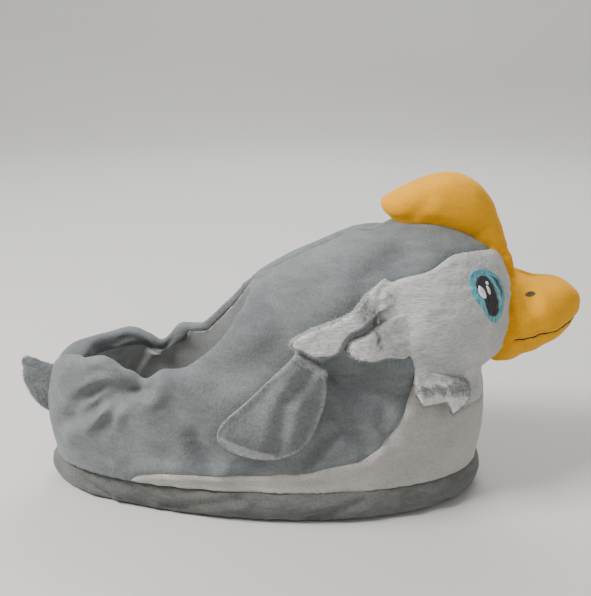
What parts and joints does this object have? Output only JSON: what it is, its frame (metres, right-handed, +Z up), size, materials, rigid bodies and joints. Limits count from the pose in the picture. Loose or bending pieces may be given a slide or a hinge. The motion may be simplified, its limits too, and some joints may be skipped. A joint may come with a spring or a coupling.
{
  "type": "plush animal slipper",
  "caption": "Stuffed plush slipper shaped like a crested bird, with a foot opening, hanging wings, cheek tufts, a stubby tail and a padded sole.",
  "frame": {"origin": "on the floor under the middle of the outsole, on the bottom of its middle grip dot", "axes": "+X along the sole towards the beak, +Y to the bird's left, +Z up"},
  "size_m": [0.3526, 0.137, 0.2024],
  "materials": {
    "outsole": "dark woven sole cloth with moulded grip dots",
    "band_plush": "short-pile plush, dark grey, piped round the sole",
    "body_plush": "short-pile plush, blue-grey, mottled nap",
    "belly_plush": "short-pile plush, off-white",
    "face_plush": "longer pile plush, pale grey, brushed",
    "beak_plush": "smooth short velboa, golden yellow",
    "lining": "brushed tricot lining, warm grey",
    "insole_cover": "fleece over foam",
    "stuffing": "polyester fibre filling",
    "foam": "soft polyurethane foam",
    "board": "pressed fibre board",
    "elastic": "braided elastic",
    "eye_ring": "satin-stitch embroidery, teal",
    "eye_pupil": "satin-stitch embroidery, black",
    "eye_glint": "satin-stitch embroidery, white",
    "thread": "dark embroidery thread"
  },
  "bodies": {
    "slipper": {"beak_stuffing": "stuffing", "belly_strip_left": "belly_plush", "belly_strip_right": "belly_plush", "chest_panel": "belly_plush", "collar_binding": "body_plush", "collar_elastic": "elastic", "crest_panel_left": "beak_plush", "crest_panel_right": "beak_plush", "crest_stuffing": "stuffing", "crown_panel_left": "body_plush", "crown_panel_right": "body_plush", "eye_glints_left": "eye_glint", "eye_glints_right": "eye_glint", "eye_iris_left": "eye_ring", "eye_iris_right": "eye_ring", "eye_pupil_left": "eye_pupil", "eye_pupil_right": "eye_pupil", "face_panel_left": "face_plush", "face_panel_right": "face_plush", "head_stuffing": "stuffing", "heel_lining": "lining", "heel_padding": "foam", "heel_panel": "body_plush", "insole_board": "board", "insole_cover": "insole_cover", "insole_foam": "foam", "lower_beak": "beak_plush", "midsole_foam": "foam", "mouth_stitching": "thread", "nostril_left": "thread", "nostril_right": "thread", "outsole": "outsole", "side_panel_left": "body_plush", "side_panel_right": "body_plush", "sole_band": "band_plush", "toe_padding": "stuffing", "upper_beak": "beak_plush", "vamp_lining": "lining", "wall_padding_left": "foam", "wall_padding_right": "foam", "wing_tab_left": "body_plush", "wing_tab_right": "body_plush"},
    "right_wing": {"wing_lining_right": "body_plush", "wing_batting_right": "stuffing", "wing_cover_right": "body_plush"},
    "right_upper_tuft": {"upper_tuft_right": "face_plush"},
    "right_lower_tuft": {"lower_tuft_right": "face_plush"},
    "right_chin_tuft": {"chin_tuft_right": "face_plush"},
    "left_wing": {"wing_lining_left": "body_plush", "wing_batting_left": "stuffing", "wing_cover_left": "body_plush"},
    "left_upper_tuft": {"upper_tuft_left": "face_plush"},
    "left_lower_tuft": {"lower_tuft_left": "face_plush"},
    "left_chin_tuft": {"chin_tuft_left": "face_plush"},
    "tail": {"tail_stuffing": "stuffing", "tail_skin": "body_plush"}
  },
  "joints": [
    {"name": "right_wing_flap", "type": "hinge", "parent": "slipper", "child": "right_wing", "pos_m": [0.0274, -0.0685, 0.1036], "axis": [-0.829, 0, 0.5593], "range_deg": [0, 90]},
    {"name": "right_upper_tuft_lift", "type": "hinge", "parent": "slipper", "child": "right_upper_tuft", "pos_m": [0.094, -0.0545, 0.12], "axis": [0, 0, 1], "range_deg": [0, 60]},
    {"name": "right_lower_tuft_lift", "type": "hinge", "parent": "slipper", "child": "right_lower_tuft", "pos_m": [0.094, -0.0545, 0.12], "axis": [0, 0, 1], "range_deg": [0, 60]},
    {"name": "right_chin_tuft_lift", "type": "hinge", "parent": "slipper", "child": "right_chin_tuft", "pos_m": [0.08943, -0.06074, 0.0985], "axis": [-0.8677, -0.3318, 0.3701], "range_deg": [0, 60]},
    {"name": "left_wing_flap", "type": "hinge", "parent": "slipper", "child": "left_wing", "pos_m": [0.0274, 0.0685, 0.1036], "axis": [0.829, 0, -0.5593], "range_deg": [0, 90]},
    {"name": "left_upper_tuft_lift", "type": "hinge", "parent": "slipper", "child": "left_upper_tuft", "pos_m": [0.094, 0.0545, 0.12], "axis": [0, 0, -1], "range_deg": [0, 60]},
    {"name": "left_lower_tuft_lift", "type": "hinge", "parent": "slipper", "child": "left_lower_tuft", "pos_m": [0.094, 0.0545, 0.12], "axis": [0, 0, -1], "range_deg": [0, 60]},
    {"name": "left_chin_tuft_lift", "type": "hinge", "parent": "slipper", "child": "left_chin_tuft", "pos_m": [0.08943, 0.06074, 0.0985], "axis": [0.8677, -0.3318, -0.3701], "range_deg": [0, 60]},
    {"name": "tail_wag", "type": "hinge", "parent": "slipper", "child": "tail", "pos_m": [-0.1415, 0, 0.065], "axis": [0, 0, 1], "range_deg": [-20, 20], "stiffness_Nm_per_rad": 0.004}
  ]
}
